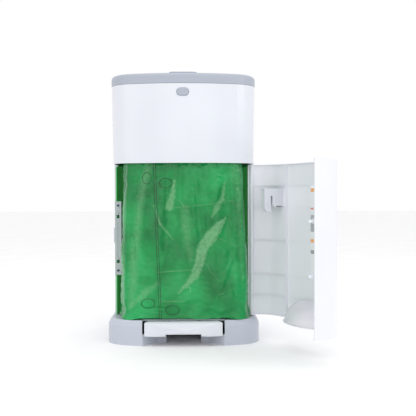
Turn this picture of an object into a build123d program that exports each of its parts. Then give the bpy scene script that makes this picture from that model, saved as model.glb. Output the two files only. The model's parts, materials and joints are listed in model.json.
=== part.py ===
from build123d import *
import os
from math import cos, radians, sin, sqrt

# Pedal bin for dog waste: a grey plinth with a foot pedal, a white body with a side-hinged front
# door, a white collar that holds the liner cassette, and a grey lid. Millimetres, +Z up, the
# front faces -Y, and the origin lies on the floor under the middle of the body.

# ---------------------------------------------------------------- driving dimensions
DECK = 52.0               # top of the plinth
BODY_TOP = 376.0          # top of the body, bottom of the collar
LID_SEAT = 538.0          # top of the collar
LID_TOP = 560.0           # top of the lid

HALF_WIDTH = 149.0        # body outline, seen from above
FRONT = -131.0
BACK = 131.0
BOW = 400.0               # radius of the bowed front
FRONT_CORNER = 54.0
REAR_CORNER = 46.0

BASE_SIDE_FLARE = 11.0    # how far the plinth stands outside the body at the sides
BASE_FRONT_FLARE = 5.0    # the same at the front and back
WALL = 2.5                # moulded outer walls
LINER_WALL = 1.5
GAP = 0.3                 # between nested shells
COLLAR_TAPER = -1.1       # degrees, the collar widens upwards

DOOR_OPEN = 112.0         # degrees from closed in the rest pose
DOOR_AXIS = (144.5, -69.0)
DOOR_BOTTOM = 54.5
DOOR_TOP = 374.5
DOOR_LEFT_EDGE = -47.0    # y where the closed door ends on the latch side
DOOR_RIGHT_EDGE = -62.0   # y where the closed door ends behind its hinge
BODY_LEFT_EDGE = -45.0    # y where the body's walls start
BODY_RIGHT_EDGE = -60.0

LID_AXIS = (118.0, 545.0)     # y and z of the hinge shared by the lid and the top frame
HOOD_RADIUS = 14.5            # the hood is round about that hinge, so the lid turns past it
LID_REAR = 102.7              # y of the lid's rear edge
CRANK_RADIUS = 17.3           # lifts the lid 70 degrees over the rod's travel
CRANK_ANGLE = 35.0            # degrees below the axis when the lid is shut

PEDAL_AXIS = (-30.0, 34.0)    # y and z of the pedal's pivot pin
ROD_X = 118.0
ROD_RADIUS = 4.0
LEVER_TOP = 38.0              # top face of the pedal's lever
ROD_Y = LID_AXIS[0] - CRANK_RADIUS * cos(radians(CRANK_ANGLE))
CRANK_Z = LID_AXIS[1] - CRANK_RADIUS * sin(radians(CRANK_ANGLE))
PAD_RADIUS = 2.5
ROD_GAP = 0.5                 # play above and below the push rod
ROD_TOP = CRANK_Z - PAD_RADIUS - ROD_GAP

RUNNING = 0.05                # radial clearance of a pin that turns
LATCH_X = -141.8              # middle of the latch strip
LATCH_BOTTOM = 138.0
LATCH_TOP = 297.0
CATCH_HEIGHTS = (167.0, 264.0)
RELEASE_BUTTON = (206.5, 240.5)   # bottom and top of the release button


# ---------------------------------------------------------------- helpers
def bow(z, grow=0.0, side=0.0, ends=0.0):
    """Outline of the bin at height z: bowed front, straight sides, flat back.

    grow offsets the outline all round; side and ends widen it without changing its radii."""
    half_width = HALF_WIDTH + grow + side
    front = FRONT - grow - ends
    back = BACK + grow + ends
    radius = BOW + grow
    side_y = front + radius - sqrt(radius**2 - half_width**2)
    with BuildSketch(Plane.XY.offset(z)) as outline:
        with BuildLine():
            ThreePointArc((-half_width, side_y), (0, front), (half_width, side_y))
            Polyline((half_width, side_y), (half_width, back), (-half_width, back), (-half_width, side_y))
        make_face()
        fillet(outline.vertices().group_by(Axis.Y)[0], FRONT_CORNER + grow)
        fillet(outline.vertices().group_by(Axis.Y)[-1], REAR_CORNER + grow)
    return outline.sketch


def block(x, y, z, mode=Mode.ADD):
    """Rectangular block between pairs of x, y and z values."""
    with Locations(((x[0] + x[1]) / 2, (y[0] + y[1]) / 2, (z[0] + z[1]) / 2)):
        Box(x[1] - x[0], y[1] - y[0], z[1] - z[0], mode=mode)


def upright(x, y, z, radius, mode=Mode.ADD):
    """Vertical cylinder between a pair of z values."""
    with Locations((x, y, (z[0] + z[1]) / 2)):
        Cylinder(radius, z[1] - z[0], mode=mode)


def crosswise(x, y, z, radius, mode=Mode.ADD):
    """Cylinder along X between a pair of x values."""
    with Locations(Location(((x[0] + x[1]) / 2, y, z), (0, 90, 0))):
        Cylinder(radius, x[1] - x[0], mode=mode)


def lengthwise(x, y, z, radius, mode=Mode.ADD):
    """Cylinder along Y between a pair of y values."""
    with Locations(Location((x, (y[0] + y[1]) / 2, z), (90, 0, 0))):
        Cylinder(radius, y[1] - y[0], mode=mode)


def shell_ring(z, outer, inner, mode=Mode.ADD):
    """Upright wall between two offsets of the bin's outline."""
    height = z[1] - z[0]
    wall = extrude(bow(z[0], outer), amount=height, mode=Mode.PRIVATE)
    core = extrude(bow(z[0], inner), amount=height, mode=Mode.PRIVATE)
    add(wall - core, mode=mode)


def open_door(part):
    """Turn a piece drawn on the closed door into the rest pose."""
    axis = Axis((*DOOR_AXIS, 0), (0, 0, 1))
    return part.rotate(axis, DOOR_OPEN)


def coil(plane, radius, wire, turns, length):
    """Spring wire wound round the z direction of a plane."""
    path = Helix(pitch=length / turns, height=length, radius=radius)
    with BuildPart(Plane.XY) as spring:
        with BuildLine():
            add(path)
        with BuildSketch(Plane(origin=path @ 0, z_dir=path % 0)):
            Circle(wire / 2)
        sweep(is_frenet=True)
    return plane.from_local_coords(spring.part)


def save(part, label):
    """Label a piece and write it as its own STEP file."""
    part.label = label
    export_step(part, f"parts/{label}.step")


os.makedirs("parts", exist_ok=True)


# ---------------------------------------------------------------- plinth
SHOULDER_LOW = 40.0
SHOULDER_HIGH = 48.5
RECESS_HALF = 85.0        # half width of the pedal recess at the front
RECESS_BACK = -110.0      # back of the recess where the pedal's tread lies
NOTCH_HALF = 36.5         # the recess narrows to this notch, where the pedal's arms run
NOTCH_BACK = -40.0
TREAD_ROOM = 24.0         # height above which the recess takes the whole tread
BASE_WALL = 3.0
LEVER_SLOT = ((109.0, 127.0), (30.0, 118.0))
SCREW_PLACES = ((139.5, 30), (-139.5, 30), (60, 122.3), (-60, 122.3))
FOOT_PLACES = ((136, -80), (-136, -80), (136, 104), (-136, 104))
TREAD_SETBACK = 6.0       # play between the tread and the slanted cheeks


def recess_outline(z, grow, forward=0.0):
    """Plan of the foot recess: wide at the front, with slanted cheeks and a narrow notch."""
    with BuildSketch(Plane.XY.offset(z)) as outline:
        with BuildLine():
            right = [(RECESS_HALF + grow, -160), (RECESS_HALF + grow, -128 - forward),
                     (54 + grow, -95 + grow - forward), (NOTCH_HALF + grow, -88 + grow - forward),
                     (NOTCH_HALF + grow, NOTCH_BACK)]
            left = [(-x, y) for x, y in reversed(right)]
            Polyline(*right, *left, close=True)
        make_face()
    return outline.sketch


with BuildPart() as base:
    extrude(bow(0, 0, BASE_SIDE_FLARE, BASE_FRONT_FLARE), amount=SHOULDER_LOW)
    low = bow(SHOULDER_LOW, 0, BASE_SIDE_FLARE, BASE_FRONT_FLARE)
    middle = bow(SHOULDER_HIGH, 0, BASE_SIDE_FLARE * 0.62, BASE_FRONT_FLARE * 0.8)
    top = bow(DECK, 0, BASE_SIDE_FLARE * 0.15, BASE_FRONT_FLARE * 0.5)
    loft([low, middle], ruled=True)
    loft([middle, top], ruled=True)
    extrude(bow(0, -BASE_WALL, BASE_SIDE_FLARE, BASE_FRONT_FLARE), amount=SHOULDER_LOW - BASE_WALL,
            mode=Mode.SUBTRACT)
    extrude(bow(SHOULDER_LOW - BASE_WALL - 1, -BASE_WALL, 1, 0), amount=DECK - SHOULDER_LOW + 1,
            mode=Mode.SUBTRACT)
    cheeks = extrude(recess_outline(0, BASE_WALL), amount=DECK - BASE_WALL, mode=Mode.PRIVATE)
    hull = extrude(bow(0, -BASE_WALL, BASE_SIDE_FLARE, BASE_FRONT_FLARE), amount=DECK - BASE_WALL,
                   mode=Mode.PRIVATE)
    add(cheeks & hull)
    extrude(recess_outline(-1, 0), amount=DECK - BASE_WALL + 1, mode=Mode.SUBTRACT)
    block((-RECESS_HALF, RECESS_HALF), (-160, RECESS_BACK), (TREAD_ROOM, DECK + 1), Mode.SUBTRACT)
    # bearing walls for the pedal's pivot pin
    for x in (-62, 124):
        block((x, x + 4), (-40, -20), (22, DECK - BASE_WALL))
        crosswise((x - 1, x + 5), PEDAL_AXIS[0], PEDAL_AXIS[1], 3, Mode.SUBTRACT)
    # slot for the lever and the push rod
    block(*LEVER_SLOT, (DECK - 5, DECK + 1), Mode.SUBTRACT)
    # socket of the door's lower pin, and the holes of the screws from below
    upright(*DOOR_AXIS, (40, DECK), 5)
    upright(*DOOR_AXIS, (44, DECK + 1), 2, Mode.SUBTRACT)
    for x, y in SCREW_PLACES:
        upright(x, y, (DECK - 6, DECK + 1), 2.1, Mode.SUBTRACT)
    # bosses that carry the rubber feet
    for x, y in FOOT_PLACES:
        upright(x, y, (3, DECK - 2), 8)
save(base.part, "base")

with BuildPart() as foot_pads:
    for x, y in FOOT_PLACES:
        upright(x, y, (0, 3), 10)
save(foot_pads.part, "foot_pads")

# ---------------------------------------------------------------- pedal
TREAD_HALF = 83.6
TREAD_FRONT = -138.5

with BuildPart() as pedal_tread:
    with BuildSketch(Plane.YZ.offset(-TREAD_HALF)):
        with BuildLine():
            Polyline((-112, 46), (-112, 28), (-129, 20.5), (-134.5, 20.5))
            ThreePointArc((-134.5, 20.5), (TREAD_FRONT, 30), (-136, 40))
            ThreePointArc((-136, 40), (-131.5, 47), (-123, 50))
            Line((-123, 50), (-112, 46))
        make_face()
    extrude(amount=2 * TREAD_HALF)
    extrude(bow(0, FRONT - TREAD_FRONT), amount=60, mode=Mode.INTERSECT)
    extrude(recess_outline(0, TREAD_HALF - RECESS_HALF, TREAD_SETBACK), amount=60, mode=Mode.INTERSECT)
    # hollow underside and the raised middle of the lower edge
    block((-66, 66), (-128, -115), (10, 43), Mode.SUBTRACT)
    block((-NOTCH_HALF, NOTCH_HALF), (-145, -110), (10, 25.5), Mode.SUBTRACT)
    # arms back to the pivot
    for x in (-24, 24):
        block((x - 4, x + 4), (-115, PEDAL_AXIS[0]), (28, 40))
    crosswise((-30, 30), *PEDAL_AXIS, 8)
    crosswise((-31, 31), *PEDAL_AXIS, 5.2, Mode.SUBTRACT)
save(pedal_tread.part, "pedal_tread")

LEVER_END = ROD_Y + 6

with BuildPart() as pedal_lever:
    crosswise((-52, 123.5), *PEDAL_AXIS, 5)
    block((ROD_X - 4, ROD_X + 4), (PEDAL_AXIS[0], LEVER_END), (28, LEVER_TOP))
    crosswise((-53, 124), *PEDAL_AXIS, 3 + RUNNING, Mode.SUBTRACT)
save(pedal_lever.part, "pedal_lever")

with BuildPart() as pedal_pin:
    crosswise((-62, 128), *PEDAL_AXIS, 3)
save(pedal_pin.part, "pedal_pin")

pedal_spring = coil(Plane((-50, PEDAL_AXIS[0], PEDAL_AXIS[1]), z_dir=(1, 0, 0)), 7.4, 1.6, 6, 15)
save(pedal_spring, "pedal_spring")

FOOT_Z = LEVER_TOP + ROD_GAP + ROD_RADIUS

with BuildPart() as push_rod:
    upright(ROD_X, ROD_Y, (FOOT_Z, ROD_TOP), ROD_RADIUS)
    # rounded foot, so that the tilting lever slides under it
    crosswise((ROD_X - ROD_RADIUS, ROD_X + ROD_RADIUS), ROD_Y, FOOT_Z, ROD_RADIUS)
save(push_rod.part, "push_rod")

GUIDE_HEIGHTS = (120, 250, 368)

with BuildPart() as rod_guides:
    for z in GUIDE_HEIGHTS:
        block((ROD_X - 8, ROD_X + 8), (ROD_Y - 7, 126.2), (z, z + 8))
        upright(ROD_X, ROD_Y, (z - 1, z + 9), ROD_RADIUS + GAP, Mode.SUBTRACT)
    extrude(bow(0, -WALL - GAP - LINER_WALL), amount=BODY_TOP, mode=Mode.INTERSECT)
save(rod_guides.part, "rod_guides")

# ---------------------------------------------------------------- body
LINER_OUT = -WALL - GAP
LINER_IN = LINER_OUT - LINER_WALL


def cut_front(left, right, z=(DECK - 1, BODY_TOP + 1)):
    """Take away everything in front of the two side edges."""
    block((-200, 0), (-200, left), z, Mode.SUBTRACT)
    block((0, 200), (-200, right), z, Mode.SUBTRACT)


BUTTON_SLOT_Y = (-39.0, -27.0)

with BuildPart() as body_shell:
    shell_ring((DECK, BODY_TOP), 0, -WALL)
    cut_front(BODY_LEFT_EDGE, BODY_RIGHT_EDGE)
    block((-160, -140), (-60, -43.5), (LATCH_BOTTOM - 1, LATCH_TOP + 1), Mode.SUBTRACT)
    block((-160, -140), BUTTON_SLOT_Y, RELEASE_BUTTON, Mode.SUBTRACT)
save(body_shell.part, "body_shell")

with BuildPart() as inner_liner:
    shell_ring((DECK, BODY_TOP), LINER_OUT, LINER_IN)
    cut_front(BODY_LEFT_EDGE, BODY_RIGHT_EDGE)
    block((-160, -140), (-60, -43.5), (LATCH_BOTTOM - 1, LATCH_TOP + 1), Mode.SUBTRACT)
    block((-160, -140), BUTTON_SLOT_Y, RELEASE_BUTTON, Mode.SUBTRACT)
    for x, y in SCREW_PLACES:
        upright(x, y, (DECK, DECK + 14), 5.5)
        upright(x, y, (DECK, DECK + 12), 1.9, Mode.SUBTRACT)
save(inner_liner.part, "inner_liner")

with BuildPart() as base_screws:
    for x, y in SCREW_PLACES:
        upright(x, y, (DECK - BASE_WALL, DECK + 11), 1.85)
        upright(x, y, (DECK - BASE_WALL - 2.5, DECK - BASE_WALL), 3.8)
save(base_screws.part, "base_screws")

# ---------------------------------------------------------------- latch in the left wall
HOUSING = ((-144.6, -135.0), (-44.0, -20.0), (LATCH_BOTTOM, LATCH_TOP))
PLATE_FRONT = -46.0
PLATE = ((-148.6, -134.8), (PLATE_FRONT, -44.0), (LATCH_BOTTOM, LATCH_TOP))
LATCH_SCREWS = (LATCH_BOTTOM + 9.5, LATCH_TOP - 9)
PLATE_BAR = (178, 252)    # bottom and top of the raised bar
CATCH_HALF = 3.5

with BuildPart() as latch_housing:
    block(*HOUSING)
    block((-146, -136.5), (-45, -21.5), (LATCH_BOTTOM + 1.5, LATCH_TOP - 1.5), Mode.SUBTRACT)
save(latch_housing.part, "latch_housing")

with BuildPart() as latch_plate:
    block(*PLATE)
    block((-146.0, -143.6), (PLATE_FRONT - 0.9, PLATE_FRONT + 0.5), PLATE_BAR)
    for z in CATCH_HEIGHTS:
        block((LATCH_X - CATCH_HALF, LATCH_X + CATCH_HALF), (-48, -43), (z - CATCH_HALF, z + CATCH_HALF),
              Mode.SUBTRACT)
        block((LATCH_X + 0.5, LATCH_X + CATCH_HALF), (-48, -43), (z, z + 9), Mode.SUBTRACT)
    for z in LATCH_SCREWS:
        lengthwise(LATCH_X, (-48, -43), z, 1.6, Mode.SUBTRACT)
save(latch_plate.part, "latch_plate")

with BuildPart() as latch_screws:
    # shallow slotted heads that stay behind the closed door's edge
    for z in LATCH_SCREWS:
        lengthwise(LATCH_X, (PLATE_FRONT - 0.7, PLATE_FRONT), z, 2.6)
        lengthwise(LATCH_X, (PLATE_FRONT - 0.2, -36), z, 1.5)
        block((LATCH_X - 2.7, LATCH_X + 2.7), (PLATE_FRONT - 1, PLATE_FRONT - 0.3), (z - 0.4, z + 0.4),
              Mode.SUBTRACT)
save(latch_screws.part, "latch_screws")

SLIDER_X = (-139.2, -136.8)

with BuildPart() as catch_slider:
    block(SLIDER_X, (-43.4, -41.4), (160, 284))
    for z in CATCH_HEIGHTS:
        block((LATCH_X - 2.6, SLIDER_X[1]), (-43.4, -40), (z + 4.2, z + 8.5))
    block(SLIDER_X, (-41.6, -30), (244, 247))
save(catch_slider.part, "catch_slider")

latch_spring = coil(Plane((-138, -42.4, 284.3), z_dir=(0, 0, 1)), 1.0, 0.4, 8, 10.6)
save(latch_spring, "latch_spring")

BUTTON_PROUD = 3.0

with BuildPart() as release_button:
    block((-HALF_WIDTH - BUTTON_PROUD, -145.5), (BUTTON_SLOT_Y[0] + 0.5, BUTTON_SLOT_Y[1] - 0.5),
          (RELEASE_BUTTON[0] + 0.5, RELEASE_BUTTON[1] - 0.5))
    fillet(release_button.faces().sort_by(Axis.X)[0].edges(), 2.2)
    block((-146, -144.2), (BUTTON_SLOT_Y[0] + 0.5, BUTTON_SLOT_Y[1] - 0.5), (RELEASE_BUTTON[0] + 0.5, 238))
    block((-145, -140.2), (-36, -30), (226, 238))
save(release_button.part, "release_button")

# ---------------------------------------------------------------- door
DOOR_MIDDLE = (DOOR_BOTTOM + DOOR_TOP) / 2
RIB_HEIGHTS = [DOOR_MIDDLE + step for step in (-115.5, -71.5, 0, 71.5, 115.5)]
RIB_WIDTH = 1.4
RIB_DEPTH = 3.0
SHALLOW_RIB = 0.8
RIB_X = 79.0              # upright ribs stand this far from the middle
BARREL = 4.0
LABEL_X = (-70.0, 0.0)
LABEL_Z = (146.0, 328.0)

with BuildPart() as door_panel:
    # deep stiffening ribs at both sides, shallow ones between them, none behind the label
    for z in RIB_HEIGHTS:
        shell_ring((z - RIB_WIDTH / 2, z + RIB_WIDTH / 2), -WALL, -WALL - RIB_DEPTH)
    block((-RIB_X, RIB_X), (FRONT, 0), (DOOR_BOTTOM, DOOR_TOP), Mode.SUBTRACT)
    for z in RIB_HEIGHTS:
        shell_ring((z - RIB_WIDTH / 2, z + RIB_WIDTH / 2), -WALL, -WALL - SHALLOW_RIB)
    block((LABEL_X[0] - 2, LABEL_X[1] + 2), (FRONT, 0), (DOOR_BOTTOM, DOOR_TOP), Mode.SUBTRACT)
    # lips along the top and the bottom edge
    shell_ring((DOOR_BOTTOM, DOOR_BOTTOM + 1.6), -WALL, -WALL - RIB_DEPTH)
    shell_ring((DOOR_TOP - 1.6, DOOR_TOP), -WALL, -WALL - RIB_DEPTH)
    for x in (-RIB_X, RIB_X):
        block((x - RIB_WIDTH / 2, x + RIB_WIDTH / 2), (-124, -116), (DOOR_BOTTOM, DOOR_TOP))
    shell_ring((DOOR_BOTTOM, DOOR_TOP), 0, -WALL)
    block((-200, 0), (DOOR_LEFT_EDGE, 200), (0, 400), Mode.SUBTRACT)
    block((0, 200), (DOOR_RIGHT_EDGE, 200), (0, 400), Mode.SUBTRACT)
    # hinge barrel with a bore for the pin at each end
    upright(*DOOR_AXIS, (DOOR_BOTTOM, DOOR_TOP), BARREL)
    for z in ((DOOR_BOTTOM, DOOR_BOTTOM + 20), (DOOR_TOP - 20, DOOR_TOP)):
        upright(*DOOR_AXIS, z, 2 + RUNNING, Mode.SUBTRACT)
save(open_door(door_panel.part), "door_panel")

with BuildPart() as door_hinge_pins:
    upright(*DOOR_AXIS, (44, DOOR_BOTTOM + 18), 2)
    upright(*DOOR_AXIS, (DOOR_TOP - 18, BODY_TOP + 12), 2)
save(door_hinge_pins.part, "door_hinge_pins")

with BuildPart() as door_hooks:
    for z in CATCH_HEIGHTS:
        block((-150, LATCH_X + 2), (-56, -48), (z - 5, z + 5))
        block((LATCH_X - 2.2, LATCH_X + 2), (-49, -38), (z - 2.6, z + 2.6))
    extrude(bow(0, -WALL), amount=400, mode=Mode.INTERSECT)
save(open_door(door_hooks.part), "door_hooks")

SCOOP_HALF = 73.0
SCOOP_RADIUS = 47.0
SCOOP_WALL = 1.8
SCOOP_LIP = 3.5


def half_spheroid(half_length, radius):
    """Quarter-round dome over the door's bottom edge, long axis along X."""
    with BuildPart() as dome:
        with BuildSketch(Plane.XY):
            Ellipse(half_length, radius)
            Rectangle(2 * half_length, radius, align=(Align.CENTER, Align.MAX), mode=Mode.SUBTRACT)
        revolve(axis=Axis.X, revolution_arc=90)
    return Pos(0, FRONT, DOOR_BOTTOM) * dome.part


with BuildPart() as bag_scoop:
    add(half_spheroid(SCOOP_HALF, SCOOP_RADIUS))
    add(half_spheroid(SCOOP_HALF - SCOOP_WALL, SCOOP_RADIUS - SCOOP_WALL), mode=Mode.SUBTRACT)
    with BuildSketch(Plane.XY.offset(DOOR_BOTTOM)) as lip:
        with Locations((0, FRONT)):
            Ellipse(SCOOP_HALF + SCOOP_LIP, SCOOP_RADIUS + SCOOP_LIP)
            Ellipse(SCOOP_HALF - SCOOP_WALL, SCOOP_RADIUS - SCOOP_WALL, mode=Mode.SUBTRACT)
    extrude(amount=SCOOP_WALL)
    extrude(bow(0, -WALL - RIB_DEPTH), amount=400, mode=Mode.INTERSECT)
save(open_door(bag_scoop.part), "bag_scoop")

CUTTER_X = (93.0, 107.0)
CUTTER_Z = (275.0, 323.0)
CUTTER_TIP = -74.0
CUTTER_SLOT = (-92.5, -88.5)
SLOT_TOP = 308.0

with BuildPart() as bag_cutter:
    with BuildSketch(Plane.YZ.offset(CUTTER_X[0])):
        with BuildLine():
            Polyline((-125, CUTTER_Z[1]), (CUTTER_TIP + 3, CUTTER_Z[1]), (CUTTER_TIP, CUTTER_Z[1] - 3),
                     (CUTTER_TIP, CUTTER_Z[0] + 10))
            ThreePointArc((CUTTER_TIP, CUTTER_Z[0] + 10), (CUTTER_TIP - 3, CUTTER_Z[0] + 3),
                          (CUTTER_TIP - 10, CUTTER_Z[0]))
            Polyline((CUTTER_TIP - 10, CUTTER_Z[0]), (CUTTER_SLOT[1] - 1.5, CUTTER_Z[0]),
                     (CUTTER_SLOT[1], CUTTER_Z[0] + 6), (CUTTER_SLOT[1], SLOT_TOP),
                     (CUTTER_SLOT[0], SLOT_TOP), (CUTTER_SLOT[0], 290), (CUTTER_SLOT[0] - 6, 284),
                     (-125, 284), (-125, CUTTER_Z[1]))
        make_face()
    extrude(amount=CUTTER_X[1] - CUTTER_X[0])
    extrude(bow(0, -WALL - 0.05), amount=400, mode=Mode.INTERSECT)
    block((CUTTER_X[0] - 1, CUTTER_X[1] + 1), (-140, CUTTER_SLOT[0] - 8), (284.8, 287.2), Mode.SUBTRACT)
save(open_door(bag_cutter.part), "bag_cutter")

with BuildPart() as cutter_blade:
    with BuildSketch(Plane.YZ.offset(99.7)):
        Polygon((CUTTER_SLOT[0], SLOT_TOP), (CUTTER_SLOT[1], SLOT_TOP), (CUTTER_SLOT[1], SLOT_TOP - 10),
                (CUTTER_SLOT[0], SLOT_TOP - 4), align=None)
    extrude(amount=0.6)
save(open_door(cutter_blade.part), "cutter_blade")


with BuildPart() as instruction_label:
    shell_ring(LABEL_Z, -WALL - 0.02, -WALL - 0.3)
    block((-200, LABEL_X[0]), (-200, 200), (0, 400), Mode.SUBTRACT)
    block((LABEL_X[1], 200), (-200, 200), (0, 400), Mode.SUBTRACT)
    block((-200, 200), (0, 200), (0, 400), Mode.SUBTRACT)
save(open_door(instruction_label.part), "instruction_label")

# ---------------------------------------------------------------- collar
PANEL_BUTTON_Z = 520.7
PILL_HALF = 12.5          # half length and half height of the pill-shaped button
PILL_RADIUS = 7.8
TRAY_Z = 393.0
THROAT = 99.0

with BuildPart() as collar:
    extrude(bow(BODY_TOP), amount=LID_SEAT - BODY_TOP, taper=COLLAR_TAPER)
    extrude(bow(BODY_TOP, -WALL), amount=LID_SEAT - BODY_TOP, taper=COLLAR_TAPER, mode=Mode.SUBTRACT)
    shell_ring((TRAY_Z - 3.5, TRAY_Z), -WALL + 0.2, -WALL - 6)
    # small shelves that the top frame rests on
    for x in (-1, 1):
        for y in (-40, 40):
            block(sorted((x * 150, x * 140)), (y - 10, y + 10), (517, 521))
    # opening of the front button
    with BuildSketch(Plane.XZ.offset(120)):
        with Locations((0, PANEL_BUTTON_Z)):
            SlotOverall(2 * PILL_HALF + 0.8, 2 * PILL_RADIUS + 0.8)
    extrude(amount=30, mode=Mode.SUBTRACT)
    # boss with the socket of the door's upper pin
    upright(*DOOR_AXIS, (BODY_TOP, BODY_TOP + 14), 4.4)
    upright(*DOOR_AXIS, (BODY_TOP - 1, BODY_TOP + 12), 2, Mode.SUBTRACT)
save(collar.part, "collar")

with BuildPart() as cassette_tray:
    extrude(bow(TRAY_Z, -WALL - GAP), amount=3)
    upright(0, 0, (TRAY_Z - 1, TRAY_Z + 4), THROAT, Mode.SUBTRACT)
    upright(ROD_X, ROD_Y, (TRAY_Z - 1, TRAY_Z + 4), ROD_RADIUS + 1, Mode.SUBTRACT)
save(cassette_tray.part, "cassette_tray")

CASSETTE_Z = TRAY_Z + 3
CASSETTE_HEIGHT = 30.0

with BuildPart() as liner_cassette:
    upright(0, 0, (CASSETTE_Z, CASSETTE_Z + CASSETTE_HEIGHT), 121)
    upright(0, 0, (CASSETTE_Z + 2, CASSETTE_Z + CASSETTE_HEIGHT + 1), 119, Mode.SUBTRACT)
    upright(0, 0, (CASSETTE_Z, CASSETTE_Z + CASSETTE_HEIGHT), 102)
    upright(0, 0, (CASSETTE_Z - 1, CASSETTE_Z + CASSETTE_HEIGHT + 1), 100, Mode.SUBTRACT)
save(liner_cassette.part, "liner_cassette")

with BuildPart() as liner_pack:
    upright(0, 0, (CASSETTE_Z + 2, CASSETTE_Z + 24), 118.5)
    upright(0, 0, (CASSETTE_Z, CASSETTE_Z + 25), 102.5, Mode.SUBTRACT)
save(liner_pack.part, "liner_pack")

BAG_FLOOR = DECK + 1.5
BAG_TOP = TRAY_Z - 5


def bag_outline(z, left, right, front, back):
    """Rounded rectangle of the hanging bag at height z."""
    with BuildSketch(Plane.XY.offset(z)) as outline:
        with Locations(((left + right) / 2, (front + back) / 2)):
            RectangleRounded(right - left, back - front, 30)
    return outline.sketch


with BuildPart() as liner_bag:
    loft([bag_outline(BAG_FLOOR, -126, 134, -121, 92), bag_outline(BAG_TOP, -120, 120, -112, 92)])
    loft([bag_outline(BAG_FLOOR + 1, -125, 133, -120, 91), bag_outline(BAG_TOP - 1, -119, 119, -111, 91)],
         mode=Mode.SUBTRACT)
    upright(0, 0, (BAG_TOP - 5, BAG_TOP + 1), 92, Mode.SUBTRACT)
save(liner_bag.part, "liner_bag")

# ---------------------------------------------------------------- front button
with BuildPart() as front_button:
    with BuildSketch(Plane.XZ.offset(127.5)):
        with Locations((0, PANEL_BUTTON_Z)):
            SlotOverall(2 * PILL_HALF, 2 * PILL_RADIUS)
    extrude(amount=8)
    fillet(front_button.faces().sort_by(Axis.Y)[0].edges(), 1.2)
    with BuildSketch(Plane.XZ.offset(126.5)):
        with Locations((0, PANEL_BUTTON_Z)):
            SlotOverall(2 * PILL_HALF + 4, 2 * PILL_RADIUS + 4)
    extrude(amount=1.5)
    lengthwise(0, (-127, -118), PANEL_BUTTON_Z, 3)
save(front_button.part, "front_button")

button_spring = coil(Plane((0, -125.8, PANEL_BUTTON_Z), z_dir=(0, 1, 0)), 4.6, 0.8, 6, 11.0)
save(button_spring, "button_spring")

with BuildPart() as button_bracket:
    block((-20, 20), (-114, -112), (PANEL_BUTTON_Z - 10, PANEL_BUTTON_Z + 10))
    for x in (-20, 20):
        block((x - 1.5, x + 1.5), (-140, -112), (PANEL_BUTTON_Z - 10, PANEL_BUTTON_Z + 10))
    lengthwise(0, (-116, -110), PANEL_BUTTON_Z, 3.4, Mode.SUBTRACT)
    extrude(bow(BODY_TOP, -WALL), amount=LID_SEAT - BODY_TOP, taper=COLLAR_TAPER, mode=Mode.INTERSECT)
save(button_bracket.part, "button_bracket")

# ---------------------------------------------------------------- hood and hinge of the lid
LID_GROW = 3.2            # the lid follows the collar's wider top
ARM_SLOTS = ((-79, -41, 128.5), (41, 79, 128.5), (109, 127, 121))
LID_ARM_X = (64, 76)
FRAME_ARM_X = (44, 56)

with BuildPart() as rear_hood:
    with BuildSketch(Plane.YZ.offset(-160)):
        with BuildLine():
            Polyline((LID_AXIS[0] - HOOD_RADIUS, LID_AXIS[1]), (LID_AXIS[0] - HOOD_RADIUS, LID_SEAT),
                     (LID_AXIS[0] + HOOD_RADIUS, LID_SEAT), (LID_AXIS[0] + HOOD_RADIUS, LID_AXIS[1]))
            ThreePointArc((LID_AXIS[0] + HOOD_RADIUS, LID_AXIS[1]),
                          (LID_AXIS[0], LID_AXIS[1] + HOOD_RADIUS),
                          (LID_AXIS[0] - HOOD_RADIUS, LID_AXIS[1]))
        make_face()
    extrude(amount=320)
    extrude(bow(LID_SEAT, LID_GROW), amount=30, mode=Mode.INTERSECT)
    crosswise((-130, 130), *LID_AXIS, HOOD_RADIUS - WALL, Mode.SUBTRACT)
    block((-130, 130), (LID_AXIS[0] - HOOD_RADIUS + WALL, 128), (LID_SEAT - 1, LID_AXIS[1]), Mode.SUBTRACT)
    # webs that hold the pin, and the slots that the arms turn in
    for x in (-84, 80):
        block((x, x + 4), (108, 128), (LID_SEAT, 553))
        crosswise((x - 1, x + 5), *LID_AXIS, 2.5, Mode.SUBTRACT)
    for left, right, back in ARM_SLOTS:
        block((left, right), (95, back), (LID_SEAT - 1, LID_TOP + 5), Mode.SUBTRACT)
save(rear_hood.part, "rear_hood")

with BuildPart() as lid_hinge_pin:
    crosswise((-84, 84), *LID_AXIS, 2.5)
save(lid_hinge_pin.part, "lid_hinge_pin")

# ---------------------------------------------------------------- lid
LID_BOTTOM = LID_SEAT + 0.6
LID_SKIN = 3.0
LOCK_Y = -100.0
LOCK_TRAVEL = 10.0

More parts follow.
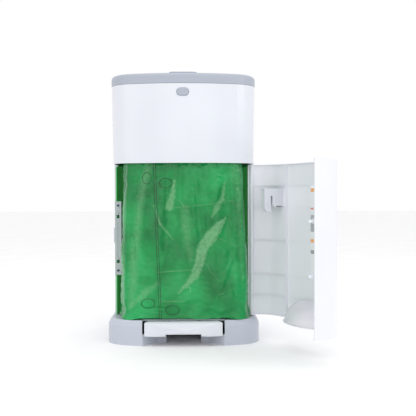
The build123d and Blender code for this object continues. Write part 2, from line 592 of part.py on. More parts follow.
with BuildPart() as lid_shell:
    extrude(bow(LID_BOTTOM, LID_GROW), amount=LID_TOP - LID_BOTTOM)
    fillet(lid_shell.faces().sort_by(Axis.Z)[-1].edges(), 8)
    extrude(bow(LID_TOP - 1.2, LID_GROW - 20), amount=3, mode=Mode.SUBTRACT)
    extrude(bow(LID_BOTTOM - 1, LID_GROW - LID_SKIN - 1), amount=LID_TOP - LID_BOTTOM - 5.2,
            mode=Mode.SUBTRACT)
    block((-200, 200), (LID_REAR, 200), (LID_BOTTOM - 2, LID_TOP + 2), Mode.SUBTRACT)
    block((-145, 145), (LID_REAR - LID_SKIN, LID_REAR), (LID_BOTTOM, LID_TOP - 3))
    for x in (-50, 50):
        block((x - 8, x + 8), (LID_REAR - 4, LID_REAR + 1), (LID_BOTTOM - 1, LID_AXIS[1] + 1), Mode.SUBTRACT)
    # hinge arms
    for side in (-1, 1):
        arm = sorted((side * LID_ARM_X[0], side * LID_ARM_X[1]))
        block(arm, (88, LID_AXIS[0]), (LID_AXIS[1] - 4, LID_AXIS[1] + 4))
        crosswise(arm, *LID_AXIS, 6)
        crosswise((arm[0] - 1, arm[1] + 1), *LID_AXIS, 2.5 + RUNNING, Mode.SUBTRACT)
    # crank that rests over the push rod
    block((ROD_X - 5, ROD_X + 5), (LID_REAR - 8, LID_REAR), (CRANK_Z + 1, LID_AXIS[1] + 5))
    block((ROD_X - 5, ROD_X + 5), (LID_REAR - 3, ROD_Y), (CRANK_Z - PAD_RADIUS, CRANK_Z + PAD_RADIUS))
    crosswise((ROD_X - 5, ROD_X + 5), ROD_Y, CRANK_Z, PAD_RADIUS)
    # slot of the lock
    block((-8.6, 8.6 + LOCK_TRAVEL), (LOCK_Y - 3, LOCK_Y + 3), (LID_TOP - 10, LID_TOP + 1), Mode.SUBTRACT)
save(lid_shell.part, "lid_shell")

with BuildPart() as lid_lock:
    with BuildSketch(Plane.XY.offset(LID_TOP - 0.9)):
        with Locations((0, LOCK_Y)):
            SlotOverall(59, 22)
    extrude(amount=6.4)
    fillet(lid_lock.faces().sort_by(Axis.Z)[-1].edges(), 2)
    block((-8, 8), (LOCK_Y - 2.5, LOCK_Y + 2.5), (LID_TOP - 7, LID_TOP))
    block((-10, 10), (LOCK_Y - 6, LOCK_Y + 6), (LID_TOP - 9.4, LID_TOP - 6.6))
save(lid_lock.part, "lid_lock")

with BuildPart() as lid_inner:
    extrude(bow(544, LID_GROW - LID_SKIN - 1.4), amount=2)
    block((-200, 200), (84, 200), (540, 550), Mode.SUBTRACT)
save(lid_inner.part, "lid_inner")

with BuildPart() as lid_seal:
    with BuildSketch(Plane.XY.offset(536)):
        RectangleRounded(188, 148, 20)
        RectangleRounded(181, 141, 17, mode=Mode.SUBTRACT)
    extrude(amount=8)
save(lid_seal.part, "lid_seal")

# ---------------------------------------------------------------- top frame and trap flaps
FRAME_Z = (532.0, 535.0)
FRAME_IN = -WALL - 3.5
FRAME_REAR = 104.0
FLAP_AXIS = (84.0, 500.0)
FLAP_HALF = 57.0

with BuildPart() as top_frame:
    extrude(bow(FRAME_Z[0], FRAME_IN), amount=FRAME_Z[1] - FRAME_Z[0])
    shell_ring((522, FRAME_Z[1]), FRAME_IN, FRAME_IN - 2)
    block((-200, 200), (FRAME_REAR, 200), (500, 540), Mode.SUBTRACT)
    # funnel down to the flaps
    block((-82, 82), (-62, 62), (505, FRAME_Z[1]))
    block((-80, 80), (-60, 60), (500, FRAME_Z[1] + 1), Mode.SUBTRACT)
    # room for the front button
    block((-26, 26), (-160, -106), (500, 540), Mode.SUBTRACT)
    # the rear right corner is cut off on a slant, so that the push rod rises past it
    with BuildSketch(Plane.XY.offset(500)):
        Polygon((88, 160), (88, FRAME_REAR), (150, 80), (150, 160), align=None)
    extrude(amount=40, mode=Mode.SUBTRACT)
    # lugs of the flap pins
    for x in (-84, 84):
        for y in (-64, 60):
            block((x - 4, x + 4), (y, y + 4), (496, FRAME_Z[1]))
            lengthwise(x, (y - 1, y + 5), FLAP_AXIS[1], 1.5, Mode.SUBTRACT)
    # hinge arms
    for side in (-1, 1):
        arm = sorted((side * FRAME_ARM_X[0], side * FRAME_ARM_X[1]))
        block(arm, (98, LID_AXIS[0] - 2), (FRAME_Z[0], LID_AXIS[1] - 2))
        crosswise(arm, *LID_AXIS, 6)
        crosswise((arm[0] - 1, arm[1] + 1), *LID_AXIS, 2.5 + RUNNING, Mode.SUBTRACT)
save(top_frame.part, "top_frame")

with BuildPart() as flap_pins:
    for x in (-84, 84):
        lengthwise(x, (-64, 64), FLAP_AXIS[1], 1.5)
save(flap_pins.part, "flap_pins")


def flap(side):
    """Trap flap on one side of the throat, hinged along its outer edge."""
    with BuildPart() as leaf:
        block(sorted((side * 84, side * 0.6)), (-FLAP_HALF, FLAP_HALF), (498.4, 501))
        lengthwise(side * 84, (-FLAP_HALF, FLAP_HALF), FLAP_AXIS[1], 3.2)
        block(sorted((side * 90, side * 78)), (-12, 12), (490, 510), Mode.SUBTRACT)
        lengthwise(side * 84, (-70, 70), FLAP_AXIS[1], 1.5 + RUNNING, Mode.SUBTRACT)
    return leaf.part


save(flap(-1), "left_flap")
save(flap(1), "right_flap")

flap_coils = [coil(Plane((x, -10, FLAP_AXIS[1]), z_dir=(0, 1, 0)), 2.4, 0.8, 8, 20) for x in (-84, 84)]
save(Compound(children=flap_coils), "flap_springs")
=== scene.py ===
import json
from math import cos, radians, sin, sqrt

import bmesh
import bpy
import numpy as np
from mathutils import Matrix, Vector
from mathutils.geometry import convex_hull_2d


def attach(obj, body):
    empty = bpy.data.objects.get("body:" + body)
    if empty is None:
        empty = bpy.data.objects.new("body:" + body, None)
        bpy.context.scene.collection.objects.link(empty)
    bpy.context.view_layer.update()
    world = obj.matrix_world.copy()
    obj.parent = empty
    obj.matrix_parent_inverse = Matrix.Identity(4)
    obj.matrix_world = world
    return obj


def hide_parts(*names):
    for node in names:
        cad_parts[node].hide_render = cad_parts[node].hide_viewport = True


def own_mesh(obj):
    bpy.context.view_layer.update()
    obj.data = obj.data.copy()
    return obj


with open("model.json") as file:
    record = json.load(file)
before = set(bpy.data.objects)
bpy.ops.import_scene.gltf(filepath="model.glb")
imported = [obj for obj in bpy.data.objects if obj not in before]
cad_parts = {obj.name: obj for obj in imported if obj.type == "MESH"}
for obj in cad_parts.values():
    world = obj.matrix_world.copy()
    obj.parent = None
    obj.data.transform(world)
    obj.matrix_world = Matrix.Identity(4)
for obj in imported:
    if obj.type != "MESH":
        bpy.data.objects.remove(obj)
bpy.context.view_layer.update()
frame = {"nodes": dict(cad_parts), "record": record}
NODES = frame["nodes"]

# ---------------------------------------------------------------- driving sizes, in metres
DECK = 0.052              # top of the plinth, which the bag stands on
BODY_TOP = 0.376          # the collar's lower edge


# ---------------------------------------------------------------- camera
CAMERA_PLACE = (0.0275, -1.605, 0.3103)
CAMERA_YAW = 0.0159
CAMERA_PITCH = 0.0181
CAMERA_ROLL = -0.0025
LENS_MM = 62.4


def make_camera():
    """Camera at the photograph's viewing angle, turned by yaw, pitch and roll in radians."""
    forward = Vector((sin(CAMERA_YAW) * cos(CAMERA_PITCH), cos(CAMERA_YAW) * cos(CAMERA_PITCH),
                      -sin(CAMERA_PITCH)))
    level = Vector((cos(CAMERA_YAW), -sin(CAMERA_YAW), 0))
    upward = level.cross(forward)
    right = level * cos(CAMERA_ROLL) + upward * sin(CAMERA_ROLL)
    up = upward * cos(CAMERA_ROLL) - level * sin(CAMERA_ROLL)
    data = bpy.data.cameras.new("camera")
    data.lens = LENS_MM
    data.sensor_width = 36
    camera = bpy.data.objects.new("camera", data)
    turn = Matrix((right, up, -forward)).transposed().to_4x4()
    camera.matrix_world = Matrix.Translation(CAMERA_PLACE) @ turn
    bpy.context.scene.collection.objects.link(camera)
    bpy.context.scene.camera = camera


# ---------------------------------------------------------------- light and floor
def make_light(name, place, aim, size, power):
    """Soft square light at place, turned towards aim."""
    data = bpy.data.lights.new(name, "AREA")
    data.size = size
    data.energy = power
    light = bpy.data.objects.new(name, data)
    light.location = place
    light.rotation_mode = "QUATERNION"
    light.rotation_quaternion = (Vector(aim) - Vector(place)).to_track_quat("-Z", "Y")
    bpy.context.scene.collection.objects.link(light)


LIGHT_AIM = (0, 0, 0.28)
# name, place, size in metres and power in watts
LIGHTS = [("light_left", (-1.5, -1.5, 1.0), 1.2, 2.5), ("light_right", (1.7, -1.1, 1.2), 1.2, 6.5),
          ("light_above", (0, -0.5, 2.2), 1.2, 7.0), ("light_front", (0.1, -2.4, 0.5), 1.6, 4.5)]
FLOOR_HALF = 12.0


def make_studio():
    """White surroundings and soft lights at each side, above and in front."""
    world = bpy.data.worlds.new("studio")
    world.use_nodes = True
    background = world.node_tree.nodes["Background"]
    background.inputs["Color"].default_value = (1, 1, 1, 1)
    background.inputs["Strength"].default_value = 1.0
    bpy.context.scene.world = world
    bpy.context.scene.view_settings.view_transform = "Standard"
    for name, place, size, power in LIGHTS:
        make_light(name, place, LIGHT_AIM, size, power)


def make_floor():
    """Plain pale floor."""
    half = FLOOR_HALF
    mesh = bpy.data.meshes.new("floor")
    mesh.from_pydata([(-half, -half, 0), (half, -half, 0), (half, half, 0), (-half, half, 0)], [],
                     [(0, 1, 2, 3)])
    floor = bpy.data.objects.new("floor", mesh)
    bpy.context.scene.collection.objects.link(floor)
    floor.data.materials.append(
        plastic("floor_white", (250, 250, 250), (247, 247, 248), 0.8, 0.0, 8, 0.0))


# ---------------------------------------------------------------- materials
def linear(colour):
    """Screen colour from 0 to 255 as linear light with alpha."""
    parts = [c / 255 for c in colour]
    return (*[c / 12.92 if c <= 0.04045 else ((c + 0.055) / 1.055) ** 2.4 for c in parts], 1)


def new_material(name):
    """Empty node material with its shader; returns material, nodes, links and shader."""
    material = bpy.data.materials.new(name)
    material.use_nodes = True
    tree = material.node_tree
    return material, tree.nodes, tree.links, tree.nodes["Principled BSDF"]


def noise(nodes, links, scale, detail=4.0):
    """Noise over the object's own coordinates."""
    place = nodes.new("ShaderNodeTexCoord")
    texture = nodes.new("ShaderNodeTexNoise")
    texture.inputs["Scale"].default_value = scale
    texture.inputs["Detail"].default_value = detail
    links.new(place.outputs["Object"], texture.inputs["Vector"])
    return texture.outputs["Fac"]


def ramp(nodes, links, source, stops):
    """Colour ramp through (place, colour) stops."""
    node = nodes.new("ShaderNodeValToRGB")
    elements = node.color_ramp.elements
    elements[0].position, elements[0].color = stops[0][0], linear(stops[0][1])
    elements[1].position, elements[1].color = stops[-1][0], linear(stops[-1][1])
    for place, colour in stops[1:-1]:
        elements.new(place).color = linear(colour)
    links.new(source, node.inputs["Fac"])
    return node.outputs["Color"]


def spread(nodes, links, source, low, high):
    """Maps 0..1 onto low..high."""
    node = nodes.new("ShaderNodeMapRange")
    node.inputs["To Min"].default_value = low
    node.inputs["To Max"].default_value = high
    links.new(source, node.inputs["Value"])
    return node.outputs["Result"]


def add_bump(nodes, links, shader, height, strength, distance):
    """Bump from a height output, with its distance in metres."""
    node = nodes.new("ShaderNodeBump")
    node.inputs["Strength"].default_value = strength
    node.inputs["Distance"].default_value = distance
    links.new(height, node.inputs["Height"])
    links.new(node.outputs["Normal"], shader.inputs["Normal"])


def plastic(name, light, dark, roughness, coat, grain, bump=0.06):
    """Moulded plastic: slow tone drift, uneven gloss and a fine moulded grain."""
    material, nodes, links, shader = new_material(name)
    links.new(ramp(nodes, links, noise(nodes, links, 7), [(0.35, dark), (0.65, light)]),
              shader.inputs["Base Color"])
    links.new(spread(nodes, links, noise(nodes, links, 35), roughness * 0.85, roughness * 1.15),
              shader.inputs["Roughness"])
    shader.inputs["Coat Weight"].default_value = coat
    shader.inputs["Coat Roughness"].default_value = 0.12
    add_bump(nodes, links, shader, noise(nodes, links, grain, 2), bump, 0.0003)
    return material


def clear_plastic(name):
    """Milky translucent plastic of the scoop."""
    material = plastic(name, (242, 242, 248), (237, 237, 244), 0.22, 0.3, 700, 0.04)
    shader = material.node_tree.nodes["Principled BSDF"]
    shader.inputs["Transmission Weight"].default_value = 0.35
    return material


def lit_wall(name):
    """Green inner wall, with a faint glow that stands for the light that comes through the film."""
    material = plastic(name, (92, 206, 112), (78, 190, 98), 0.38, 0.1, 500)
    shader = material.node_tree.nodes["Principled BSDF"]
    shader.inputs["Emission Color"].default_value = linear((36, 92, 46))
    shader.inputs["Emission Strength"].default_value = 0.7
    return material


def metal(name, light, dark, roughness):
    """Steel with fine lengthwise scratches."""
    material, nodes, links, shader = new_material(name)
    links.new(ramp(nodes, links, noise(nodes, links, 90), [(0.3, dark), (0.7, light)]),
              shader.inputs["Base Color"])
    links.new(spread(nodes, links, noise(nodes, links, 260), roughness * 0.8, roughness * 1.3),
              shader.inputs["Roughness"])
    shader.inputs["Metallic"].default_value = 1.0
    add_bump(nodes, links, shader, noise(nodes, links, 900, 2), 0.08, 0.0002)
    return material


LABEL_BARS = [(0.0, (226, 228, 231)), (0.26, (150, 153, 158)), (0.30, (226, 228, 231)),
              (0.38, (232, 168, 112)), (0.42, (226, 228, 231)), (0.50, (168, 171, 177)),
              (0.68, (226, 228, 231)), (0.74, (214, 120, 104)), (0.76, (226, 228, 231)),
              (0.93, (232, 168, 112)), (0.97, (240, 240, 242))]


def label_paper(name):
    """Label with plain coloured bars in place of any printing."""
    material, nodes, links, shader = new_material(name)
    place = nodes.new("ShaderNodeTexCoord")
    parts = nodes.new("ShaderNodeSeparateXYZ")
    links.new(place.outputs["Generated"], parts.inputs["Vector"])
    colour = ramp(nodes, links, parts.outputs["Z"], LABEL_BARS)
    colour.node.color_ramp.interpolation = "CONSTANT"
    links.new(colour, shader.inputs["Base Color"])
    shader.inputs["Roughness"].default_value = 0.45
    add_bump(nodes, links, shader, noise(nodes, links, 500, 2), 0.05, 0.0002)
    return material


PRINT_TOP = (-0.060, 0.385)       # x and z of the upper end of the printed double line
PRINT_BOTTOM = (-0.048, 0.060)
PRINT_GAP = 0.0042
PRINT_WIDTH = 0.0011
PRINT_BACK = -0.06                # only the front of the bag is printed
OVAL_WIDTH = 0.0006
FILM_TONES = [(0.30, (8, 120, 58)), (0.50, (16, 156, 78)), (0.70, (38, 188, 104))]
FILM_PALE_AND_GLINT = (158, 218, 164)       # paler streaks, and painted highlight along the glints
FILM_FOLD_SHADE = (4, 84, 34)           # painted shade in the film's hollows
FILM_INK = (18, 44, 30)
# plain ovals: x and z of the middle, half width and half height
PRINT_OVALS = [(-0.036, 0.335, 0.013, 0.010), (-0.075, 0.345, 0.009, 0.012),
               (-0.073, 0.086, 0.014, 0.010), (-0.023, 0.072, 0.014, 0.010)]


def film(name):
    """Green bag film: uneven tone, crinkled gloss, paler streaks, painted highlight along its glints,
    painted shade in its folds and a plain printed double line.
    """
    material, nodes, links, shader = new_material(name)
    place = nodes.new("ShaderNodeTexCoord")
    parts = nodes.new("ShaderNodeSeparateXYZ")
    links.new(place.outputs["Object"], parts.inputs["Vector"])

    def math(operation, a, b):
        node = nodes.new("ShaderNodeMath")
        node.operation = operation
        for socket, value in zip(node.inputs, (a, b)):
            if isinstance(value, (int, float)):
                socket.default_value = value
            else:
                links.new(value, socket)
        return node.outputs[0]

    tone = ramp(nodes, links, noise(nodes, links, 14, 6), FILM_TONES)
    slope = (PRINT_TOP[0] - PRINT_BOTTOM[0]) / (PRINT_TOP[1] - PRINT_BOTTOM[1])
    start = PRINT_BOTTOM[0] - slope * PRINT_BOTTOM[1]
    along = math("ADD", math("MULTIPLY", parts.outputs["Z"], slope), start)
    across = math("SUBTRACT", parts.outputs["X"], along)
    from_line = math("ABSOLUTE", math("SUBTRACT", math("ABSOLUTE", across, 0), PRINT_GAP / 2), 0)
    ink = math("LESS_THAN", from_line, PRINT_WIDTH / 2)
    for x, z, half_wide, half_high in PRINT_OVALS:
        sideways = math("DIVIDE", math("SUBTRACT", parts.outputs["X"], x), half_wide)
        upwards = math("DIVIDE", math("SUBTRACT", parts.outputs["Z"], z), half_high)
        reach = math("SQRT", math("ADD", math("MULTIPLY", sideways, sideways),
                                  math("MULTIPLY", upwards, upwards)), 0)
        from_oval = math("ABSOLUTE", math("SUBTRACT", reach, 1), 0)
        ink = math("MAXIMUM", ink, math("LESS_THAN", from_oval, OVAL_WIDTH / half_high))
    ink = math("MULTIPLY", ink, math("LESS_THAN", parts.outputs["Y"], PRINT_BACK))
    mix = nodes.new("ShaderNodeMix")
    mix.data_type = "RGBA"
    links.new(ink, mix.inputs["Factor"])
    # folded film is paler along its streaks, with painted highlight along its glints, and deeper green in
    # its hollows, which is painted shade
    pale_glint_shade = nodes.new("ShaderNodeAttribute")
    pale_glint_shade.attribute_name = "pale_glint_shade"
    uneven = spread(nodes, links, noise(nodes, links, 190, 8), 0.0, 1.15)
    for kind, colour in (("MAXIMUM", FILM_PALE_AND_GLINT), ("MINIMUM", FILM_FOLD_SHADE)):
        amount = math("ABSOLUTE", math(kind, pale_glint_shade.outputs["Fac"], 0), 0)
        blend = nodes.new("ShaderNodeMix")
        blend.data_type = "RGBA"
        blend.inputs["B"].default_value = linear(colour)
        links.new(math("MULTIPLY", amount, uneven), blend.inputs["Factor"])
        links.new(tone, blend.inputs["A"])
        tone = blend.outputs["Result"]
    links.new(tone, mix.inputs["A"])
    mix.inputs["B"].default_value = linear(FILM_INK)
    links.new(mix.outputs["Result"], shader.inputs["Base Color"])
    links.new(spread(nodes, links, noise(nodes, links, 60), 0.30, 0.48),
              shader.inputs["Roughness"])
    shader.inputs["IOR"].default_value = 1.15
    shader.inputs["Transmission Weight"].default_value = 0.30
    shader.inputs["Coat Weight"].default_value = 0.65
    shader.inputs["Coat Roughness"].default_value = 0.13
    add_bump(nodes, links, shader, noise(nodes, links, 110, 6), 0.45, 0.0014)
    return material


def make_materials():
    """One material for each of the record's slots."""
    return {
        "white_shell": plastic("white_shell", (216, 219, 226), (212, 215, 222), 0.24, 0.4, 900, 0.03),
        "white_part": plastic("white_part", (220, 223, 230), (214, 217, 225), 0.33, 0.2, 700),
        "grey_lid": plastic("grey_lid", (166, 172, 184), (161, 167, 179), 0.42, 0.05, 620, 0.12),
        "grey_base": plastic("grey_base", (190, 195, 206), (184, 189, 201), 0.45, 0.05, 620, 0.14),
        "green_wall": lit_wall("green_wall"),
        "green_film": film("green_film"),
        "clear_scoop": clear_plastic("clear_scoop"),
        "grey_latch": plastic("grey_latch", (184, 189, 194), (176, 181, 187), 0.38, 0.1, 650),
        "steel": metal("steel", (172, 175, 180), (140, 144, 150), 0.28),
        "rubber": plastic("rubber", (44, 44, 47), (34, 34, 37), 0.75, 0.0, 400, 0.2),
        "label": label_paper("label"),
        "inner_plastic": plastic("inner_plastic", (138, 143, 150), (128, 133, 141), 0.5, 0.0, 600,
                                 0.1),
    }


def dress_nodes(materials):
    """Give every CAD node the material of its slot in the record."""
    for row in frame["record"]["subparts"]:
        node = NODES[row["node"]]
        node.data.materials.clear()
        node.data.materials.append(materials[row["material_slot"]])
    NODES["latch_screws"].data.materials.clear()
    NODES["latch_screws"].data.materials.append(metal("dark_screw", (74, 84, 98), (52, 60, 72), 0.4))
    # the door's inner side is whiter than the body
    # a lighter copy of the white plastic on the door's inner side, painted light for how brightly that side
    # is lit
    NODES["door_panel"].data.materials.clear()
    NODES["door_panel"].data.materials.append(
        plastic("door_lit_white", (226, 228, 234), (222, 224, 230), 0.30, 0.3, 900, 0.03))


# ---------------------------------------------------------------- the hanging bag
BAG_LEVELS = 130
BAG_COLUMNS = 200
BAG_CORNER = 0.030
BAG_LOW = ((-0.131, 0.139), (-0.1185, 0.090))      # x and y limits just above the deck
BAG_HIGH = ((-0.1235, 0.1225), (-0.110, 0.090))    # the same under the collar
BAG_FLOOR = DECK + 0.002
BAG_RIM = 0.387
BAG_SLACK = 0.05          # share by which the film is larger than the space it hangs in
BAG_CAP = 0.007           # furthest a point of the film moves
SIM_FRAMES = 22
# long creases pulled across the front: ends as x and z, height and half width
CREASES = [((0.086, 0.261), (-0.009, 0.110), 0.0030, 0.0045),
           ((0.074, 0.327), (0.057, 0.263), 0.0025, 0.0035),
           ((-0.112, 0.384), (-0.121, 0.060), 0.0035, 0.0050),
           ((0.092, 0.386), (0.080, 0.290), -0.0035, 0.0080),
           ((0.020, 0.384), (0.052, 0.190), 0.0022, 0.0040),
           ((-0.020, 0.250), (-0.070, 0.075), 0.0020, 0.0050),
           ((0.110, 0.200), (0.060, 0.070), 0.0024, 0.0045)]
# strokes on the front of the bag: how pale the film is there, below zero how deep the painted shade in its
# folds is, and points of x, z and half width
STROKES = [
    (0.8, [(0.088, 0.263, 0.001), (0.074, 0.246, 0.008), (0.059, 0.226, 0.012), (0.040, 0.202, 0.011),
           (0.034, 0.173, 0.009), (0.024, 0.144, 0.008), (0.006, 0.124, 0.004), (-0.011, 0.107, 0.001)]),
    (0.6, [(0.086, 0.334, 0.001), (0.081, 0.302, 0.004), (0.070, 0.285, 0.006), (0.059, 0.263, 0.001)]),
    (0.7, [(-0.018, 0.339, 0.002), (-0.022, 0.312, 0.005), (-0.029, 0.286, 0.008)]),
    (0.4, [(-0.070, 0.373, 0.005), (-0.082, 0.334, 0.006), (-0.091, 0.285, 0.005), (-0.095, 0.231, 0.006),
           (-0.103, 0.175, 0.007), (-0.104, 0.127, 0.007), (-0.110, 0.083, 0.003)]),
    (0.5, [(-0.111, 0.078, 0.002), (-0.082, 0.107, 0.006), (-0.053, 0.127, 0.001)]),
    (0.3, [(0.003, 0.280, 0.006), (0.006, 0.246, 0.008), (0.010, 0.202, 0.007), (0.017, 0.173, 0.002)]),
    (0.3, [(0.109, 0.368, 0.009), (0.115, 0.309, 0.008), (0.118, 0.226, 0.006), (0.122, 0.139, 0.003)]),
    # the last three strokes are painted shade in folds of the film
    (-0.9, [(0.079, 0.376, 0.012), (0.064, 0.346, 0.013), (0.049, 0.319, 0.007)]),
    (-0.6, [(0.001, 0.370, 0.010), (-0.009, 0.353, 0.007)]),
    (-0.5, [(0.050, 0.064, 0.006), (0.120, 0.064, 0.008)]),
]
STROKE_FRONT = -0.085     # strokes only lie in front of this y
SHARP_STROKE = 0.55       # strokes paler than this have a sharp edge
# painted highlights along the creases, thin and sharp, and how far the creases stand out
GLINT_HEIGHT = 0.0010
GLINTS = [
    (1.2, [(-0.061, 0.289, 0.001), (-0.048, 0.251, 0.002), (-0.036, 0.236, 0.002), (-0.022, 0.218, 0.001)]),
    (0.8, [(-0.055, 0.150, 0.001), (-0.024, 0.152, 0.0015), (0.019, 0.155, 0.001)]),
    (0.8, [(-0.019, 0.284, 0.001), (0.013, 0.285, 0.001)]),
    (0.7, [(0.023, 0.288, 0.001), (0.059, 0.291, 0.001), (0.088, 0.297, 0.001)]),
    (0.9, [(0.092, 0.298, 0.001), (0.103, 0.297, 0.001), (0.114, 0.289, 0.001)]),
    (0.6, [(0.064, 0.223, 0.001), (0.091, 0.214, 0.001), (0.113, 0.202, 0.001)]),
    (0.7, [(0.040, 0.178, 0.001), (0.057, 0.151, 0.001), (0.076, 0.130, 0.001)]),
    (0.8, [(-0.045, 0.089, 0.001), (-0.019, 0.090, 0.0015), (0.003, 0.089, 0.001)]),
    (1.0, [(-0.002, 0.117, 0.001), (0.013, 0.119, 0.002), (0.015, 0.107, 0.001)]),
    (0.9, [(0.074, 0.104, 0.001), (0.088, 0.108, 0.001)]),
    (0.8, [(-0.009, 0.300, 0.001), (0.001, 0.287, 0.002), (0.013, 0.285, 0.0015)]),
    (0.8, [(-0.004, 0.251, 0.001), (0.003, 0.244, 0.002), (0.020, 0.246, 0.001)]),
]


def stroke_reach(points, line):
    """Greatest of half width less distance to the line, at each point's x and z."""
    reach = np.full(len(points), -1.0)
    for (x0, z0, w0), (x1, z1, w1) in zip(line, line[1:]):
        run = np.array([x1 - x0, z1 - z0])
        offset = points[:, [0, 2]] - [x0, z0]
        share = np.clip(offset @ run / (run @ run), 0, 1)
        distance = np.linalg.norm(offset - share[:, None] * run, axis=1)
        reach = np.maximum(reach, w0 + (w1 - w0) * share - distance)
    return reach


def mark_film(bag):
    """Store on each point the paleness of the folded film there, with painted highlight along its glints
    and, below zero, painted shade in its folds.
    """
    points = np.array([v.co for v in bag.data.vertices])
    wander = 0.0012 * (np.sin(points[:, 2] * 520 + 3 * np.sin(points[:, 0] * 170))
                       * np.sin(points[:, 0] * 610))
    amount = np.zeros(len(points))
    for strength, line in STROKES:
        softness = 0.0040 if strength > SHARP_STROKE else 0.0120
        amount += strength * np.clip((stroke_reach(points, line) + wander) / softness + 0.5, 0, 1)
    # painted highlight along each glint
    for strength, line in GLINTS:
        edge = np.clip(stroke_reach(points, line) / 0.0012 + 0.2, 0, 1)
        amount = np.maximum(amount, 0.55 * strength * edge)
    amount *= points[:, 1] < STROKE_FRONT
    pale_glint_shade = bag.data.attributes.new("pale_glint_shade", "FLOAT", "POINT")
    pale_glint_shade.data.foreach_set("value", amount.astype(np.float32))


def rounded_ring(x_limits, y_limits, radius, count):
    """Points evenly round a rounded rectangle."""
    (left, right), (front, back) = x_limits, y_limits
    corners = [(right - radius, front + radius, -90), (right - radius, back - radius, 0),
               (left + radius, back - radius, 90), (left + radius, front + radius, 180)]
    points = []
    for x, y, first in corners:
        for step in range(13):
            angle = radians(first + step * 7.5)
            points.append((x + radius * cos(angle), y + radius * sin(angle)))
    points = np.array(points + points[:1])
    length = np.concatenate([[0], np.cumsum(np.linalg.norm(np.diff(points, axis=0), axis=1))])
    place = np.linspace(0, length[-1], count, endpoint=False)
    return np.stack([np.interp(place, length, points[:, i]) for i in (0, 1)], axis=1)


def bag_mesh():
    """Open-topped tube of film with a floor that closes to the middle."""
    rows = []
    for level in range(BAG_LEVELS):
        share = level / (BAG_LEVELS - 1)
        narrowing = share ** 2
        limits = [tuple(low + (high - low) * narrowing for low, high in zip(a, b))
                  for a, b in zip(BAG_LOW, BAG_HIGH)]
        ring = rounded_ring(*limits, BAG_CORNER, BAG_COLUMNS)
        height = BAG_FLOOR + (BAG_RIM - BAG_FLOOR) * share
        rows.append(np.column_stack([ring, np.full(BAG_COLUMNS, height)]))
    points = np.concatenate(rows)
    faces = []
    for level in range(BAG_LEVELS - 1):
        for column in range(BAG_COLUMNS):
            a = level * BAG_COLUMNS + column
            b = level * BAG_COLUMNS + (column + 1) % BAG_COLUMNS
            faces.append((a, b, b + BAG_COLUMNS, a + BAG_COLUMNS))
    floor_middle = len(points)
    points = np.vstack([points, [[0.004, -0.014, BAG_FLOOR]]])
    faces += [((c + 1) % BAG_COLUMNS, c, floor_middle) for c in range(BAG_COLUMNS)]
    mesh = bpy.data.meshes.new("bag_film")
    mesh.from_pydata([tuple(p) for p in points], [], faces)
    return mesh


def crumple(bag):
    """Cloth simulation: film a little too large for its space buckles into folds."""
    group = bag.vertex_groups.new(name="held")
    held = [v.index for v in bag.data.vertices
            if v.co.z > BAG_RIM - 0.004 or v.co.z < BAG_FLOOR + 0.001]
    group.add(held, 1.0, "REPLACE")
    before = np.array([v.co for v in bag.data.vertices])
    cloth = bag.modifiers.new("cloth", "CLOTH")
    cloth.settings.vertex_group_mass = "held"
    cloth.settings.quality = 5
    cloth.settings.mass = 0.05
    cloth.settings.tension_stiffness = 25
    cloth.settings.compression_stiffness = 25
    cloth.settings.shear_stiffness = 8
    cloth.settings.bending_stiffness = 0.02
    cloth.settings.shrink_min = -BAG_SLACK
    cloth.settings.use_pressure = False
    cloth.collision_settings.use_collision = False
    scene = bpy.context.scene
    for number in range(1, SIM_FRAMES + 1):
        scene.frame_set(number)
    settled = bag.evaluated_get(bpy.context.evaluated_depsgraph_get())
    after = np.array([v.co for v in settled.data.vertices])
    bag.modifiers.clear()
    scene.frame_set(1)
    move = after - before
    size = np.linalg.norm(move, axis=1, keepdims=True)
    move *= np.minimum(1, BAG_CAP / np.maximum(size, 1e-9))
    bag.data.vertices.foreach_set("co", (before + move).astype(np.float32).ravel())
    bag.data.update()


def press_creases(bag):
    """Raise the long creases on the front of the bag."""
    points = np.array([v.co for v in bag.data.vertices])
    on_front = np.clip((STROKE_FRONT - points[:, 1]) / 0.02, 0, 1)
    for (x0, z0), (x1, z1), height, half_width in CREASES:
        run = np.array([x1 - x0, z1 - z0])
        offset = points[:, [0, 2]] - [x0, z0]
        share = np.clip(offset @ run / (run @ run), 0, 1)
        distance = np.linalg.norm(offset - share[:, None] * run, axis=1)
        fade = np.sin(np.pi * np.clip(share, 0.04, 0.96)) ** 0.5
        points[:, 1] -= height * on_front * fade * np.exp(-(distance / half_width) ** 2)
    for _, line in GLINTS:
        edge = np.clip(stroke_reach(points, line) / 0.0015 + 0.8, 0, 1)
        points[:, 1] -= GLINT_HEIGHT * on_front * edge
    bag.data.vertices.foreach_set("co", points.astype(np.float32).ravel())
    bag.data.update()


# straight folds at random slants: wavelength, height and how many sets cross
FOLDS = [(0.085, 0.0030, 4), (0.036, 0.0016, 5), (0.016, 0.0007, 6)]


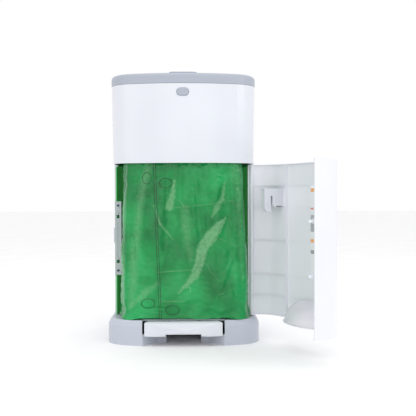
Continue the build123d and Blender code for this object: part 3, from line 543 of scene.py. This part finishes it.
def fold_facets(bag):
    """Crumple the film into flat facets that meet in sharp creases."""
    draw = np.random.RandomState(7)
    points = np.array([v.co for v in bag.data.vertices])
    normals = np.array([v.normal for v in bag.data.vertices])
    along, up = points[:, 0] + points[:, 1], points[:, 2]
    height = np.zeros(len(points))
    for wave, size, sets in FOLDS:
        for _ in range(sets):
            slant, phase, patch_phase = draw.uniform(0, 2 * np.pi, 3)
            warp = 0.25 * wave * np.sin(2 * np.pi * (up + 0.6 * along) / (3.1 * wave) + phase)
            turn = (along * cos(slant) + up * sin(slant) + warp) / wave + phase
            facet = 2 * np.abs(2 * (turn - np.floor(turn + 0.5))) - 1
            patch = 0.5 + 0.5 * np.sin(2 * np.pi * (along * sin(slant) - up * cos(slant)) / (2.7 * wave)
                                       + patch_phase)
            height += size * facet * patch ** 2 / sqrt(sets)
    held = np.clip(np.minimum(BAG_RIM - up, up - BAG_FLOOR) / 0.012, 0, 1)
    points += normals * (height * held)[:, None]
    bag.data.vertices.foreach_set("co", points.astype(np.float32).ravel())
    bag.data.update()


def refine(bag):
    """Split every face of the film once, so that it can hold the fine creases."""
    bag.modifiers.new("finer", "SUBSURF").levels = 1
    finer = bpy.data.meshes.new_from_object(
        bag.evaluated_get(bpy.context.evaluated_depsgraph_get()))
    bag.modifiers.clear()
    bag.data = finer
    bag.data.name = "bag_film"


# where the pedal's lever rises under the film: x limits and front end, how far the film is lifted
# over it, and how high up its wall the lift has faded out
LEVER_WIDE = (0.108, 0.134)
LEVER_FRONT = 0.052
LEVER_LIFT = 0.009
LEVER_FADE = 0.085


def clear_lever(bag):
    """Lift the rear right corner of the bag's floor over the pedal's lever."""
    points = np.array([v.co for v in bag.data.vertices])
    beside = np.maximum(LEVER_WIDE[0] - points[:, 0], points[:, 0] - LEVER_WIDE[1])
    above = np.clip(1 - beside / 0.012, 0, 1) * np.clip((points[:, 1] - LEVER_FRONT) / 0.018, 0, 1)
    points[:, 2] += LEVER_LIFT * above * np.clip((LEVER_FADE - points[:, 2]) / 0.030, 0, 1)
    bag.data.vertices.foreach_set("co", points.astype(np.float32).ravel())
    bag.data.update()


def make_bag(material):
    """The green liner bag that hangs from the cassette, in place of its plain CAD solid."""
    bag = bpy.data.objects.new("bag_film", bag_mesh())
    bpy.context.scene.collection.objects.link(bag)
    crumple(bag)
    refine(bag)
    fold_facets(bag)
    press_creases(bag)
    clear_lever(bag)
    mark_film(bag)
    for face in bag.data.polygons:
        face.use_smooth = True
    bag.data.materials.append(material)
    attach(bag, "root")
    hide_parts("liner_bag")
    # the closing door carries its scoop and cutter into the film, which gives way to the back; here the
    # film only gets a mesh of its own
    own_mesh(bag)


# ---------------------------------------------------------------- collar's lip and the body's clip
LIP_PROUD = 0.0005
LIP_HEIGHT = 0.0030
CLIP_PLACE = (-0.1442, -0.0455, 0.3735)
CLIP_HALF = (0.0022, 0.0009, 0.0022)


def make_lip(material):
    """Low rim that runs round the collar's lower edge."""
    rim = [v.co.xy.copy() for v in NODES["collar"].data.vertices if v.co.z < BODY_TOP + 0.0002]
    outline = [rim[i] for i in convex_hull_2d(rim)]
    middle = sum(outline, Vector((0, 0))) / len(outline)
    # outward and height of each corner of the rim's section, from inside at the bottom upwards
    section = [(-0.0008, 0.0002), (LIP_PROUD * 0.6, 0.0002), (LIP_PROUD, 0.0007),
               (LIP_PROUD, LIP_HEIGHT - 0.0006), (LIP_PROUD * 0.4, LIP_HEIGHT), (-0.0008, LIP_HEIGHT)]
    points, faces = [], []
    count = len(outline)
    for i, here in enumerate(outline):
        along = (outline[(i + 1) % count] - outline[i - 1]).normalized()
        outward = Vector((along.y, -along.x))
        if outward.dot(here - middle) < 0:
            outward = -outward
        for grow, height in section:
            points.append((*(here + outward * grow), BODY_TOP + height))
    corners = len(section)
    for i in range(count):
        for k in range(corners):
            a, b = i * corners + k, i * corners + (k + 1) % corners
            c, d = ((i + 1) % count) * corners + (k + 1) % corners, ((i + 1) % count) * corners + k
            faces.append((a, b, c, d))
    mesh = bpy.data.meshes.new("collar_lip")
    mesh.from_pydata(points, [], faces)
    add_piece("collar_lip", mesh, material)


def make_clip(material):
    """Small rounded clip in the corner between the collar and the left wall."""
    shape = bmesh.new()
    bmesh.ops.create_cube(shape, size=2)
    bmesh.ops.scale(shape, vec=CLIP_HALF, verts=shape.verts)
    bmesh.ops.bevel(shape, geom=shape.edges[:], offset=0.0005, segments=3, affect="EDGES",
                    profile=0.5)
    bmesh.ops.translate(shape, vec=CLIP_PLACE, verts=shape.verts)
    mesh = bpy.data.meshes.new("body_clip")
    shape.to_mesh(mesh)
    shape.free()
    add_piece("body_clip", mesh, material)


def add_piece(name, mesh, material):
    """Link a small fixed piece of the body and give it its material."""
    piece = bpy.data.objects.new(name, mesh)
    bpy.context.scene.collection.objects.link(piece)
    bm = bmesh.new()
    bm.from_mesh(mesh)
    bmesh.ops.recalc_face_normals(bm, faces=bm.faces)
    bm.to_mesh(mesh)
    bm.free()
    mesh.materials.append(material)
    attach(piece, "root")


# ---------------------------------------------------------------- build
MATERIALS = make_materials()
make_camera()
make_studio()
make_floor()
dress_nodes(MATERIALS)
make_bag(MATERIALS["green_film"])
make_lip(MATERIALS["white_shell"])
make_clip(MATERIALS["white_part"])
